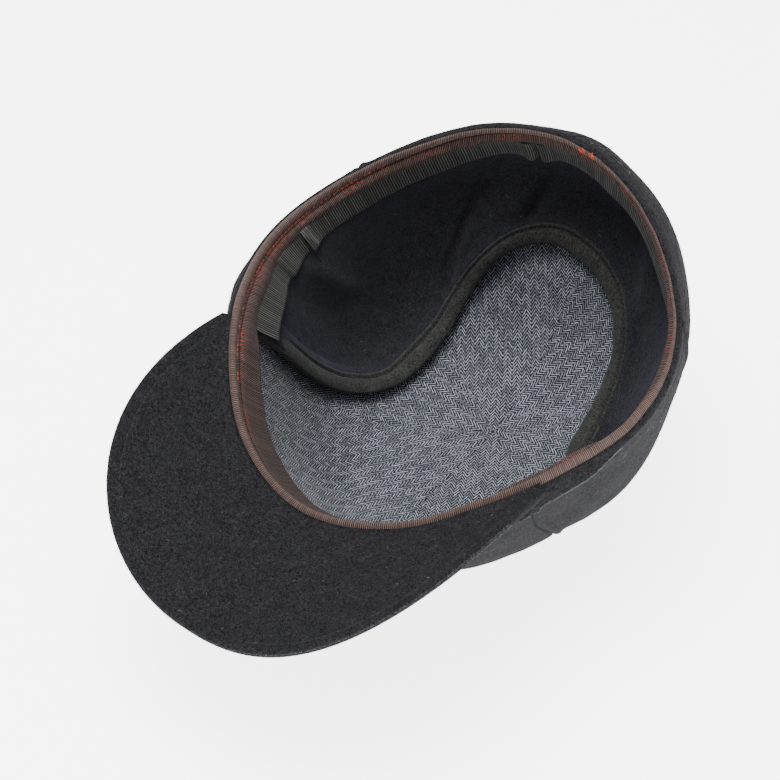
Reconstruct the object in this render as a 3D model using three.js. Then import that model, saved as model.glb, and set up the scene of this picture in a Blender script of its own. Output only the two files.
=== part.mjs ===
// A soft wool cap with a peak. It lies upside down on its crown, with its ear flap folded inside.
// Millimetres, +Z up, the peak towards -Y. "turn" is the angle round the mouth of the crown, in
// degrees from the back centre, positive towards the wearer's left (-X). "run" is a length of cloth
// measured down the wall from the mouth, and "lift" a distance from the wool's inner face into the hollow.
import * as THREE from 'three';

const degree = Math.PI / 180;

// Main sizes
const headRadius = 95.2;
const crownDepth = 109.5;
const crownSquareness = 2.5;
const crownMiddleBack = 7;
const capTilt = 17.7;
const mouthHeight = 104.5;
const floorBlend = 4;

// Cloth thicknesses and clearances
const woolThickness = 2.2;
const liningThickness = 1;
const fleeceThickness = 1.8;
const knitThickness = 1.2;
const ribbonThickness = 0.8;
const tapeThickness = 0.6;
const gap = 0.3;
const looseGap = 0.9;

// Crown
const panelCount = 6;
const panelPuff = 1.5;
const tipRadius = 1.2;
const bulgeDepth = 0.75;
const sideBulge = -6;
const frontBulge = -4;
const backBulge = 15;
const backBulgeStart = 0.85;

// Sweatband and ribbon
const bandWidth = 16;
const bandLean = 5;
const rollHeight = 1.5;
const hemDepth = 4.5;
const ribbonWidth = 12;
const ribbonEndTurn = 119;

// Ear flap and the tape that binds its free edge
const flapTopTurn = 112;
const flapDrop = 114;
const napeShare = 0.77;
const tapeWidth = 11;
const tapeRamp = 8;
const tapeRound = 1.2;

// The turns between which the sweatband swells over the flap's bound front corner.
const boundCorner = { start: 96, full: 106, ending: 124, gone: 142 };

// Peak
const peakRootTurn = 120;
const peakRootWidth = 1.6;
const peakLength = 67;
const peakSideReach = 2.2;
const peakSideShare = 0.12;
const peakWidestBack = 42;
const peakRoundness = 2.3;
const peakTipRise = 22.5;
const peakTipDroop = 5.7;
const peakSideRise = 34.2;
const peakCoverThickness = 1.9;
const peakEdgeRound = 0.8;
const peakSeat = 0.5;
const peakColumns = 16;
const peakRows = 5;

// The mouth of the crown, one half: its radius and its rise, as shares of the head radius.
const mouthTable = [
  { turn: 0, reach: 1.005, rise: 0.09 },
  { turn: 22.5, reach: 0.997, rise: 0.045 },
  { turn: 45, reach: 0.991, rise: -0.042 },
  { turn: 67.5, reach: 0.999, rise: -0.077 },
  { turn: 90, reach: 0.991, rise: -0.031 },
  { turn: 112.5, reach: 0.963, rise: 0.033 },
  { turn: 135, reach: 0.975, rise: 0.042 },
  { turn: 157.5, reach: 1.041, rise: -0.001 },
  { turn: 180, reach: 1.082, rise: -0.029 },
];

// The sweatband, one half: how far it reaches down, as a share of its width, and how far its lower
// edge leans into the hollow, as a share of its lean.
const bandTable = [
  { turn: 0, reach: 0.44, lean: 0.5 },
  { turn: 15, reach: 0.53, lean: 0.5 },
  { turn: 35, reach: 0.59, lean: 0.33 },
  { turn: 55, reach: 0.53, lean: 0.17 },
  { turn: 78, reach: 0.38, lean: 0.08 },
  { turn: 92, reach: 0.56, lean: 0.08 },
  { turn: 108, reach: 0.78, lean: 0.08 },
  { turn: 122, reach: 0.88, lean: 0.33 },
  { turn: 140, reach: 1, lean: 1 },
  { turn: 180, reach: 1, lean: 0.83 },
];

// The flap's free edge from its front end to the back centre: how far it reaches down on the
// wearer's left and right, as shares of the flap's drop.
const flapTable = [
  { turn: 121, left: 0.075, right: 0.075 },
  { turn: 121, left: 0.19, right: 0.19 },
  { turn: 120.5, left: 0.31, right: 0.31 },
  { turn: 119.5, left: 0.44, right: 0.44 },
  { turn: 118.5, left: 0.57, right: 0.57 },
  { turn: 116.5, left: 0.7, right: 0.7 },
  { turn: 113.5, left: 0.83, right: 0.84 },
  { turn: 107.5, left: 0.935, right: 0.96 },
  { turn: 97, left: 0.995, right: 1.03 },
  { turn: 85, left: 1, right: 1.05 },
  { turn: 74, left: 0.98, right: 1.04 },
  { turn: 64, left: 0.955, right: 1.01 },
  { turn: 55, left: 0.93, right: 0.985 },
  { turn: 47, left: 0.885, right: 0.955 },
  { turn: 39, left: 0.835, right: 0.915 },
  { turn: 31, left: 0.79, right: 0.86 },
  { turn: 22, left: 0.755, right: 0.82 },
  { turn: 11, left: 0.745, right: 0.795 },
];

const finishes = {
  wool: { color: 0x1b1b1e, roughness: 0.95 },
  lining: { color: 0x5b6271, roughness: 0.9 },
  knit: { color: 0x54403a, roughness: 0.95 },
  ribbon: { color: 0x2c2f2c, roughness: 0.8 },
  fleece: { color: 0x15161b, roughness: 1 },
  tape: { color: 0x1f201e, roughness: 0.75 },
};

// A smooth curve through one column of a table whose rows go up in turn, level at both ends.
function readTable(rows, column, turn) {
  const last = rows.length - 1;
  const slope = (i) => {
    if (i === 0 || i === last) return 0;
    return (rows[i + 1][column] - rows[i - 1][column]) / (rows[i + 1].turn - rows[i - 1].turn);
  };
  let i = 0;
  while (i < last - 1 && rows[i + 1].turn < turn) i += 1;
  const width = rows[i + 1].turn - rows[i].turn;
  const t = THREE.MathUtils.clamp((turn - rows[i].turn) / width, 0, 1);
  const rise = rows[i + 1][column] - rows[i][column];
  const start = slope(i) * width;
  const end = slope(i + 1) * width;
  const square = 3 * rise - 2 * start - end;
  const cube = start + end - 2 * rise;
  return rows[i][column] + start * t + square * t ** 2 + cube * t ** 3;
}

// Turns run past 180 at the front, where the left and right halves meet.
function sideOf(turn) {
  const wrapped = Math.abs(turn) % 360;
  return wrapped > 180 ? 360 - wrapped : wrapped;
}

// The inner face of the wool along one meridian, as points from the mouth to the crown's middle.
function meridian(turn, steps = 72) {
  const side = sideOf(turn);
  const reach = headRadius * readTable(mouthTable, 'reach', side);
  const rise = headRadius * readTable(mouthTable, 'rise', side);
  const back = Math.cos(turn * degree);
  const sideways = sideBulge * (1 - back ** 2) + (back > 0 ? 0 : frontBulge * back ** 2);
  const backwards = back > 0 ? backBulge * back ** 2 : 0;
  const points = [];
  for (let i = 0; i <= steps; i += 1) {
    const angle = (i / steps) * 90 * degree;
    const out = Math.cos(angle) ** (2 / crownSquareness);
    const down = Math.sin(angle) ** (2 / crownSquareness);
    const depth = Math.min(down / bulgeDepth, 1);
    const sideBelly = sideways * Math.sin(Math.PI * depth);
    const backBelly = backwards * Math.sin(Math.PI * depth ** backBulgeStart);
    const radius = reach * (i === steps ? 0 : out) + sideBelly + backBelly;
    points.push(new THREE.Vector3(
      -Math.sin(turn * degree) * radius,
      back * radius + crownMiddleBack * down,
      rise * (1 - down) - crownDepth * down,
    ));
  }
  const runs = [0];
  for (let i = 1; i <= steps; i += 1) runs.push(runs[i - 1] + points[i].distanceTo(points[i - 1]));
  return { points, runs, total: runs[steps] };
}

// Above the mouth a meridian goes straight up.
function pointOnWool(turn, run) {
  const { points, runs, total } = meridian(turn);
  if (run < 0) return points[0].clone().add(new THREE.Vector3(0, 0, -run));
  let i = 1;
  while (i < runs.length - 1 && runs[i] < run) i += 1;
  const share = (Math.min(run, total) - runs[i - 1]) / (runs[i] - runs[i - 1]);
  return points[i - 1].clone().lerp(points[i], share);
}

// The direction into the hollow at a point of the wall, and the length of one degree of turn there.
function directions(turn, run) {
  const step = 0.5;
  const round = pointOnWool(turn + step, run).sub(pointOnWool(turn - step, run));
  const down = pointOnWool(turn, run + step).sub(pointOnWool(turn, run - step));
  const millimetresPerDegree = round.length() / (2 * step);
  return { inward: round.cross(down).normalize(), millimetresPerDegree };
}

// Between two seams the crown stands out a little, and the whole stack of cloth with it.
function puffAt(turn, run) {
  const { total } = meridian(turn, 24);
  const share = THREE.MathUtils.clamp(run / total, 0, 1);
  const betweenSeams = Math.abs(Math.sin((turn * degree * panelCount) / 2));
  return panelPuff * betweenSeams * Math.sin(Math.PI * share) ** 2;
}

// Cloth is flat where the cap rests: each layer stops at its own height above the ground.
function restOnFloor(point, lift) {
  const layer = woolThickness + lift;
  const height = point.z - layer;
  if (height < -floorBlend) point.z = layer;
  else if (height < floorBlend) point.z = layer + (height + floorBlend) ** 2 / (4 * floorBlend);
  return point;
}

const tiltAxis = new THREE.Vector3(1, 0, 0);

function layDown(point, lift = -woolThickness) {
  point.applyAxisAngle(tiltAxis, capTilt * degree);
  point.z += mouthHeight;
  return restOnFloor(point, lift);
}

function onWall(turn, run, lift) {
  const { inward } = directions(turn, run);
  const point = pointOnWool(turn, run).addScaledVector(inward, lift - puffAt(turn, run));
  return layDown(point, lift);
}

// A closed body from two faces of a grid: place(i, j, face) gives the points of face 0 and face 1.
// Facing quads are split along their shorter diagonal, or all alike where two covers lie together.
function clothMesh(name, finish, { across, along, ring = false, alike = false }, place) {
  const columns = ring ? across : across + 1;
  const points = [];
  const faces = [];
  for (const face of [0, 1]) {
    for (let i = 0; i < columns; i += 1) {
      for (let j = 0; j <= along; j += 1) points.push(...place(i, j, face).toArray());
    }
  }
  const at = (face, i, j) => (face * columns + (i % columns)) * (along + 1) + j;
  const pointAt = (k) => new THREE.Vector3().fromArray(points, 3 * k);
  const length = (a, b) => pointAt(a).distanceTo(pointAt(b));
  const quad = (a, b, c, d) => faces.push(a, b, c, a, c, d);
  for (let i = 0; i < across; i += 1) {
    for (let j = 0; j < along; j += 1) {
      const front = [at(0, i, j), at(0, i + 1, j), at(0, i + 1, j + 1), at(0, i, j + 1)];
      const back = [at(1, i, j), at(1, i, j + 1), at(1, i + 1, j + 1), at(1, i + 1, j)];
      if (!alike && length(front[1], front[3]) < length(front[0], front[2])) {
        front.push(front.shift());
        back.unshift(back.pop());
      }
      quad(...front);
      quad(...back);
    }
    quad(at(0, i, 0), at(1, i, 0), at(1, i + 1, 0), at(0, i + 1, 0));
    quad(at(0, i, along), at(0, i + 1, along), at(1, i + 1, along), at(1, i, along));
  }
  for (let j = 0; j < along && !ring; j += 1) {
    quad(at(0, 0, j), at(0, 0, j + 1), at(1, 0, j + 1), at(1, 0, j));
    quad(at(0, across, j), at(1, across, j), at(1, across, j + 1), at(0, across, j + 1));
  }
  const geometry = new THREE.BufferGeometry();
  geometry.setAttribute('position', new THREE.Float32BufferAttribute(points, 3));
  geometry.setIndex(volumeOf(points, faces) > 0 ? faces : faces.reverse());
  geometry.computeVertexNormals();
  const material = new THREE.MeshStandardMaterial({ ...finishes[finish], metalness: 0 });
  const mesh = new THREE.Mesh(geometry, material);
  mesh.name = name;
  return mesh;
}

function volumeOf(points, faces) {
  const corner = (k) => new THREE.Vector3().fromArray(points, 3 * faces[k]);
  let volume = 0;
  for (let k = 0; k < faces.length; k += 3) {
    volume += corner(k).dot(corner(k + 1).cross(corner(k + 2))) / 6;
  }
  return volume;
}

// Offsets a folded strip's centre line to its two faces; the line is a list of { lift, run } points.
function stripFaces(line, thickness) {
  return line.map((point, k) => {
    const before = line[Math.max(k - 1, 0)];
    const after = line[Math.min(k + 1, line.length - 1)];
    const lift = after.lift - before.lift;
    const run = after.run - before.run;
    const length = Math.hypot(lift, run);
    const half = thickness / 2;
    return [
      { lift: point.lift + (run / length) * half, run: point.run - (lift / length) * half },
      { lift: point.lift - (run / length) * half, run: point.run + (lift / length) * half },
    ];
  });
}

// Rows of the crown's grid, as shares of a meridian: closest together round the crown's shoulder.
const crownRows = [0, 0.05, 0.11, 0.18, 0.26, 0.34, 0.42, 0.49, 0.56, 0.63, 0.7, 0.79, 0.89, 1];
const panelColumns = 8;
const panelNames = ['back_left', 'side_left', 'front_left', 'front_right', 'side_right', 'back_right'];

// One sewn panel between two seams; both cloths of the crown share its grid.
function crownPanel(name, finish, panel, topRun, outerLift, innerLift) {
  const wide = 360 / panelCount;
  return clothMesh(name, finish, { across: panelColumns, along: crownRows.length - 1 }, (i, j, face) => {
    const middle = wide * (panel + i / panelColumns);
    const { total } = meridian(middle);
    const run = Math.max(topRun, crownRows[j] * (total - tipRadius));
    const { millimetresPerDegree } = directions(middle, run);
    const seam = gap / 2 / millimetresPerDegree;
    const inset = seam * (1 - (2 * i) / panelColumns);
    return onWall(middle + inset, run, face ? innerLift : outerLift);
  });
}

const liningInner = gap + liningThickness;
const flapOuter = liningInner + looseGap;
const flapInner = flapOuter + fleeceThickness;
const bindingInner = flapInner + 2 * (tapeThickness + gap);

// How far the sweatband stands off the wool: over the flap, over the bound corner, over the lining.
function bandLift(turn) {
  const side = sideOf(turn);
  const overFlap = flapInner + 2 * gap;
  const overBinding = bindingInner + gap;
  const overLining = liningInner + 4 * gap;
  const swell = THREE.MathUtils.smoothstep(side, boundCorner.start, boundCorner.full);
  const fall = THREE.MathUtils.smoothstep(side, boundCorner.ending, boundCorner.gone);
  return overFlap + (overBinding - overFlap) * swell + (overLining - overBinding) * fall;
}

function bandEdge(turn) {
  const side = sideOf(turn);
  return {
    reach: bandWidth * readTable(bandTable, 'reach', side),
    lean: bandLean * readTable(bandTable, 'lean', side),
  };
}

// The sweatband's section from its hidden hem, up over the rolled edge, down to its lower edge.
function bandLine(turn) {
  const { reach, lean } = bandEdge(turn);
  const hem = gap + knitThickness / 2;
  const strip = bandLift(turn) + knitThickness / 2;
  const roll = strip + knitThickness / 2;
  return [
    { lift: hem, run: hemDepth - gap - knitThickness / 2 },
    { lift: hem, run: 0 },
    { lift: hem + (roll - hem) * 0.2, run: -rollHeight * 0.8 },
    { lift: hem + (roll - hem) * 0.5, run: -rollHeight },
    { lift: hem + (roll - hem) * 0.85, run: -rollHeight * 0.7 },
    { lift: roll, run: rollHeight * 0.4 },
    { lift: strip, run: rollHeight * 1.8 },
    { lift: strip + lean * 0.4, run: rollHeight * 1.8 + (reach - rollHeight * 1.8) * 0.5 },
    { lift: strip + lean, run: reach },
  ];
}

function sweatband() {
  const stations = panelCount * panelColumns;
  const rows = bandLine(0).length - 1;
  return clothMesh('sweatband', 'knit', { across: stations, along: rows, ring: true }, (i, j, face) => {
    const turn = (360 * i) / stations;
    const place = stripFaces(bandLine(turn), knitThickness)[j][face];
    return onWall(turn, place.run, place.lift);
  });
}

// Grosgrain ribbon below the sweatband, over the flap's upper edge.
function ribbon() {
  const stations = 32;
  return clothMesh('ribbon', 'ribbon', { across: stations, along: 1 }, (i, j, face) => {
    const turn = ribbonEndTurn * ((2 * i) / stations - 1);
    const { reach, lean } = bandEdge(turn);
    const run = reach + knitThickness / 2 + gap + ribbonWidth * j;
    return onWall(turn, run, bandLift(turn) + lean + face * ribbonThickness);
  });
}

// The flap's free edge from the wearer's left to the right, as { turn, run } stations.
function flapEdge() {
  const left = flapTable.map((row) => ({ turn: row.turn, run: row.left * flapDrop }));
  const right = flapTable.map((row) => ({ turn: -row.turn, run: row.right * flapDrop }));
  return [...left, { turn: 0, run: napeShare * flapDrop }, ...right.reverse()];
}

// A point that lies the given length inside the free edge, square to it on the wall.
function insideEdge(edge, i, length) {
  const before = edge[Math.max(i - 1, 0)];
  const after = edge[Math.min(i + 1, edge.length - 1)];
  const { millimetresPerDegree } = directions(edge[i].turn, edge[i].run);
  const round = (after.turn - before.turn) * millimetresPerDegree;
  const down = after.run - before.run;
  const share = length / Math.hypot(round, down);
  return { turn: edge[i].turn - (down * share) / millimetresPerDegree, run: edge[i].run + round * share };
}

// The turns along the flap's upper edge that face the stations of its free edge.
function flapTopTurns(edge) {
  const leastTurn = 2;
  const walked = [0];
  for (let i = 1; i < edge.length; i += 1) {
    walked.push(walked[i - 1] + leastTurn + Math.abs(edge[i].turn - edge[i - 1].turn));
  }
  return walked.map((length) => flapTopTurn * (1 - (2 * length) / walked[edge.length - 1]));
}

function earFlap() {
  const edge = flapEdge();
  const topTurns = flapTopTurns(edge);
  const last = edge.length - 1;
  const insets = [tapeRound + gap, tapeWidth, tapeWidth + tapeRamp];
  const rowsAbove = 7;
  const size = { across: last, along: insets.length - 1 + rowsAbove };
  return clothMesh('ear_flap', 'fleece', size, (i, j, face) => {
    const ramped = insideEdge(edge, i, insets[insets.length - 1]);
    const raised = j < insets.length - 1 ? tapeThickness + gap : 0;
    const top = { turn: topTurns[i], run: hemDepth };
    const share = Math.max(j - insets.length + 1, 0) / rowsAbove;
    const place = j < insets.length ? insideEdge(edge, i, insets[j]) : {
      turn: ramped.turn + (top.turn - ramped.turn) * share,
      run: ramped.run + (top.run - ramped.run) * share,
    };
    return onWall(place.turn, place.run, flapOuter + raised + face * fleeceThickness);
  });
}

// Tape folded over the free edge, one leg on each face of the fleece.
function flapBinding() {
  const edge = flapEdge();
  const half = tapeThickness / 2;
  const outer = flapOuter + half;
  const inner = bindingInner - half;
  const line = [
    { run: tapeWidth - gap, lift: outer },
    { run: tapeRound, lift: outer },
    { run: 0, lift: outer + tapeRound * 0.7 },
    { run: 0, lift: inner - tapeRound * 0.7 },
    { run: tapeRound, lift: inner },
    { run: tapeWidth - gap, lift: inner },
  ];
  const faces = stripFaces(line, tapeThickness);
  const size = { across: edge.length - 1, along: line.length - 1 };
  return clothMesh('flap_binding', 'tape', size, (i, j, face) => {
    const place = insideEdge(edge, i, faces[j][face].run);
    return onWall(place.turn, place.run, faces[j][face].lift);
  });
}

// Where the peak meets the crown: just outside the wool at the mouth.
function peakRoot(turn) {
  const { inward } = directions(turn, 0);
  return pointOnWool(turn, 0).addScaledVector(inward, -woolThickness - gap);
}

// One half of the peak's outline, from its root (share 0) past its widest place to the tip (share 1).
function peakOutline(share) {
  const root = peakRoot(peakRootTurn);
  const rootHalf = -root.x + peakRootWidth;
  const widestHalf = -root.x + peakSideReach;
  const mouthFront = pointOnWool(180, 0);
  const widestY = mouthFront.y + peakWidestBack;
  if (share < peakSideShare) {
    const t = share / peakSideShare;
    const spread = 1 - (1 - t) ** 2;
    return { x: rootHalf + (widestHalf - rootHalf) * spread, y: root.y + (widestY - root.y) * t };
  }
  const angle = ((share - peakSideShare) / (1 - peakSideShare)) * 90 * degree;
  const reach = mouthFront.y - peakLength - widestY;
  return {
    x: widestHalf * Math.cos(angle) ** (2 / peakRoundness),
    y: widestY + reach * Math.sin(angle) ** (2 / peakRoundness),
  };
}

// The peak rises to its tip, ever less steeply, and arches up to its sides.
function peakSurface(x, y) {
  const mouthFront = pointOnWool(180, 0);
  const half = peakSideReach - peakRoot(peakRootTurn).x;
  const forward = (mouthFront.y - y) / peakLength;
  const aside = x / half;
  const z = mouthFront.z + peakTipRise * forward - peakTipDroop * forward ** 2 + peakSideRise * aside ** 2;
  const slopeAside = (2 * peakSideRise * aside) / half;
  const slopeForward = (peakTipRise - 2 * peakTipDroop * forward) / peakLength;
  return { z, steepness: Math.hypot(1, slopeAside, slopeForward) };
}

// A wool cover between two depths below the face that shows; its edge is rounded on one side.
function peakCover(name, upperDepth, lowerDepth, roundedFace) {
  const size = { across: 2 * peakColumns, along: peakRows, alike: true };
  return clothMesh(name, 'wool', size, (i, j, face) => {
    const hand = i < peakColumns ? -1 : 1;
    const share = 1 - Math.abs(i / peakColumns - 1);
    const turn = peakRootTurn + (180 - peakRootTurn) * share;
    const root = peakRoot(turn);
    const tip = peakOutline(share);
    const length = Math.hypot(tip.x + root.x, tip.y - root.y);
    const edgeShare = Math.min(0.4, (2 * peakEdgeRound) / length);
    const along = j === peakRows ? 1 : (j / (peakRows - 1)) * (1 - edgeShare);
    const x = -root.x + (tip.x + root.x) * along;
    const y = root.y + (tip.y - root.y) * along;
    const { z, steepness } = peakSurface(x, y);
    const seated = root.z - peakSeat - peakSurface(-root.x, root.y).z;
    const depth = (face ? lowerDepth : upperDepth) * steepness;
    const rounding = j === peakRows && face === roundedFace ? peakEdgeRound * (face ? 1 : -1) : 0;
    return layDown(new THREE.Vector3(hand * x, y, z + seated * (1 - along) ** 2 - depth + rounding));
  });
}

const cap = new THREE.Group();
panelNames.forEach((side, panel) => {
  cap.add(crownPanel(`crown_${side}`, 'wool', panel, 0, -woolThickness, 0));
  cap.add(crownPanel(`lining_${side}`, 'lining', panel, hemDepth, gap, liningInner));
});
cap.add(sweatband(), ribbon(), earFlap(), flapBinding());
cap.add(peakCover('peak_under_cover', 0, peakCoverThickness, 0));
cap.add(peakCover('peak_top_cover', peakCoverThickness + gap, 2 * peakCoverThickness + gap, 1));

// The origin is on the ground below the middle of the cap's box.
const box = new THREE.Box3().setFromObject(cap);
const middle = box.getCenter(new THREE.Vector3());
cap.position.set(-middle.x, -middle.y, -box.min.z);

export default cap;
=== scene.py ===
import math
import random
from bisect import bisect_right
from functools import lru_cache

import bmesh
import bpy
from mathutils import Matrix, Vector, noise


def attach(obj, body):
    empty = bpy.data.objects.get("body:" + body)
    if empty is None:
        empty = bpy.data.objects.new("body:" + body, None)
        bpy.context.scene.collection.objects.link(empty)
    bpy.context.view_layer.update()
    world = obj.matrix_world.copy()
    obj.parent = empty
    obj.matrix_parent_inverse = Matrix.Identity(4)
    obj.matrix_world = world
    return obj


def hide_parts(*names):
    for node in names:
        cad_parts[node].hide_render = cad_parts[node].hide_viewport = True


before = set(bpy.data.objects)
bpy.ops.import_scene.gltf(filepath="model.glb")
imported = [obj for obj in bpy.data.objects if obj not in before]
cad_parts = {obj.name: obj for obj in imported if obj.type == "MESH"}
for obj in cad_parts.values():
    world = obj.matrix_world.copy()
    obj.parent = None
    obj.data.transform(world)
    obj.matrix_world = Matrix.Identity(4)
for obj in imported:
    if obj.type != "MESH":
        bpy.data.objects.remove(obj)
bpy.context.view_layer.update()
random.seed(7)

mm = 0.001

# Where things are. "turn" goes round the mouth of the crown in degrees from the back centre, positive
# to the wearer's left (-X). "run" is a length of cloth down the wall from the mouth, and "lift" a
# distance from the wool's inner face into the hollow.
crownShape = {
    "mouthCentre": Vector((0, 24.26, 104.5)) * mm,
    "tilt": math.radians(17.7),
    "headRadius": 95.2 * mm,
    "depth": 109.5 * mm,
    "squareness": 2.5,
    "middleBack": 7 * mm,
    "bulgeDepth": 0.75,
    "sideBulge": -6 * mm,
    "frontBulge": -4 * mm,
    "backBulge": 15 * mm,
    "backBulgeStart": 0.85,
    "panels": 6,
    "puff": 1.5 * mm,
    "floorBlend": 4 * mm,
    "slackness": 0.7 * mm,
    "slackSize": 34 * mm,
    "steps": 90,
}

# turn, reach and rise of the mouth as shares of the head radius
mouthTable = [
    (0, 1.005, 0.09), (22.5, 0.997, 0.045), (45, 0.991, -0.042), (67.5, 0.999, -0.077),
    (90, 0.991, -0.031), (112.5, 0.963, 0.033), (135, 0.975, 0.042), (157.5, 1.041, -0.001),
    (180, 1.082, -0.029),
]

# cloth thicknesses and the lifts of the faces that show
wool = 2.2 * mm
liningFace = 1.3 * mm
flapFace = 4.0 * mm
bindingFace = 5.8 * mm
hemDepth = 4.5 * mm


def smoothStep(value, low, high):
    t = min(max((value - low) / (high - low), 0), 1)
    return t * t * (3 - 2 * t)


def bump(distance, width):
    return math.exp(-((distance / width) ** 2))


def readTable(rows, column, turn):  # smooth through the rows, level at both ends
    last = len(rows) - 1

    def slope(i):
        if i in (0, last):
            return 0
        return (rows[i + 1][column] - rows[i - 1][column]) / (rows[i + 1][0] - rows[i - 1][0])

    i = 0
    while i < last - 1 and rows[i + 1][0] < turn:
        i += 1
    width = rows[i + 1][0] - rows[i][0]
    t = min(max((turn - rows[i][0]) / width, 0), 1)
    rise = rows[i + 1][column] - rows[i][column]
    start, end = slope(i) * width, slope(i + 1) * width
    return rows[i][column] + start * t + (3 * rise - 2 * start - end) * t ** 2 + (start + end - 2 * rise) * t ** 3


def sideOf(turn):
    wrapped = abs(turn) % 360
    return min(wrapped, 360 - wrapped)


@lru_cache(maxsize=None)
def meridian(turn):  # the wool's inner face down one line, for whole degrees
    shape = crownShape
    reach = shape["headRadius"] * readTable(mouthTable, 1, sideOf(turn))
    rise = shape["headRadius"] * readTable(mouthTable, 2, sideOf(turn))
    back = math.cos(math.radians(turn))
    sideways = shape["sideBulge"] * (1 - back ** 2) + (0 if back > 0 else shape["frontBulge"] * back ** 2)
    backwards = shape["backBulge"] * back ** 2 if back > 0 else 0
    points = []
    for i in range(shape["steps"] + 1):
        angle = i / shape["steps"] * math.pi / 2
        out = max(math.cos(angle), 0) ** (2 / shape["squareness"]) if i < shape["steps"] else 0
        down = math.sin(angle) ** (2 / shape["squareness"])
        deep = min(down / shape["bulgeDepth"], 1)
        belly = sideways * math.sin(math.pi * deep) + backwards * math.sin(math.pi * deep ** shape["backBulgeStart"])
        radius = reach * out + belly
        points.append(Vector((
            -math.sin(math.radians(turn)) * radius,
            back * radius + shape["middleBack"] * down,
            rise * (1 - down) - shape["depth"] * down,
        )))
    runs = [0]
    for before, after in zip(points, points[1:]):
        runs.append(runs[-1] + (after - before).length)
    return points, runs


@lru_cache(maxsize=None)
def wallLine(turn):  # a meridian with its directions into the hollow
    points, runs = meridian(turn)
    left, right = meridian((turn + 1) % 360)[0], meridian((turn - 1) % 360)[0]
    last = len(points) - 1
    inwards = []
    for i in range(last):
        down = points[i + 1] - points[max(i - 1, 0)]
        inwards.append((left[i] - right[i]).cross(down).normalized())
    inwards.append(Vector((0, 0, 1)))
    return points, inwards, runs


def onLine(turn, run):
    points, inwards, runs = wallLine(turn % 360)
    if run <= 0:
        return points[0] + Vector((0, 0, -run)), inwards[0]
    i = min(bisect_right(runs, run), len(runs) - 1)
    t = (min(run, runs[-1]) - runs[i - 1]) / (runs[i] - runs[i - 1])
    return points[i - 1].lerp(points[i], t), inwards[i - 1].lerp(inwards[i], t)


def wallLength(turn):
    low = math.floor(turn)
    lengths = [meridian(k % 360)[1][-1] for k in (low, low + 1)]
    return lengths[0] + (lengths[1] - lengths[0]) * (turn - low)


def degreeLength(turn, run):
    low = math.floor(turn)
    return max((onLine(low + 1, run)[0] - onLine(low, run)[0]).length, 0.01 * mm)


def layDown(point, lift=-wool):  # tilts the cap back on its crown and flattens what rests on the floor
    placed = Matrix.Rotation(crownShape["tilt"], 3, "X") @ point + crownShape["mouthCentre"]
    layer, blend = max(wool + lift, 0), crownShape["floorBlend"]
    height = placed.z - layer
    if height < -blend:
        placed.z = layer
    elif height < blend:
        placed.z = layer + (height + blend) ** 2 / (4 * blend)
    return placed


def onWall(turn, run, lift):
    low = math.floor(turn)
    t = turn - low
    (pointA, inwardA), (pointB, inwardB) = onLine(low, run), onLine(low + 1, run)
    point = pointA.lerp(pointB, t)
    inward = inwardA.lerp(inwardB, t).normalized()
    share = min(max(run / wallLength(turn), 0), 1)
    betweenSeams = abs(math.sin(math.radians(turn) * crownShape["panels"] / 2))
    puff = crownShape["puff"] * betweenSeams * math.sin(math.pi * share) ** 2
    slack = crownShape["slackness"] * noise.noise(point / crownShape["slackSize"])
    slack *= smoothStep(run, 0, 25 * mm)
    return layDown(point + inward * (lift - puff + slack), lift)


# Making cloth
def cloth(name, across, along, lay, pattern, facing=None, ring=False, tube=False):
    bm = bmesh.new()
    bmesh.ops.create_grid(bm, x_segments=across, y_segments=along, size=0.5)
    weave = bm.loops.layers.uv.new("weave")
    spot = {}
    for vert in bm.verts:
        spot[vert] = (round((vert.co.x + 0.5) * across), round((vert.co.y + 0.5) * along))
    for face in bm.faces:
        for loop in face.loops:
            loop[weave].uv = pattern(*spot[loop.vert])
    for vert, (i, j) in spot.items():
        vert.co = lay(i, j)
    if ring or tube:
        bmesh.ops.remove_doubles(bm, verts=bm.verts, dist=0.001 * mm)
    if tube:
        edges = [edge for edge in bm.edges if edge.is_boundary]
        if edges:
            bmesh.ops.holes_fill(bm, edges=edges, sides=0)
        bmesh.ops.recalc_face_normals(bm, faces=bm.faces)
    elif facing:
        bm.normal_update()
        if sum(face.normal.dot(facing(face.calc_center_median())) * face.calc_area() for face in bm.faces) < 0:
            bmesh.ops.reverse_faces(bm, faces=bm.faces)
    return finishedPiece(name, bm)


def finishedPiece(name, bm):
    mesh = bpy.data.meshes.new(name)
    bm.to_mesh(mesh)
    bm.free()
    mesh.polygons.foreach_set("use_smooth", [True] * len(mesh.polygons))
    piece = bpy.data.objects.new(name, mesh)
    bpy.context.scene.collection.objects.link(piece)
    return piece


def thicken(piece, thickness):
    wall = piece.modifiers.new("thickness", "SOLIDIFY")
    wall.thickness = thickness
    wall.offset = -1
    return piece


def outwards(point):
    return point - crownShape["mouthCentre"] + Vector((0, 0, 30 * mm))


def inwards(point):
    return -outwards(point)


def crowded(i, count):  # grid lines that crowd towards both ends
    return (1 - math.cos(math.pi * i / count)) / 2


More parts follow.
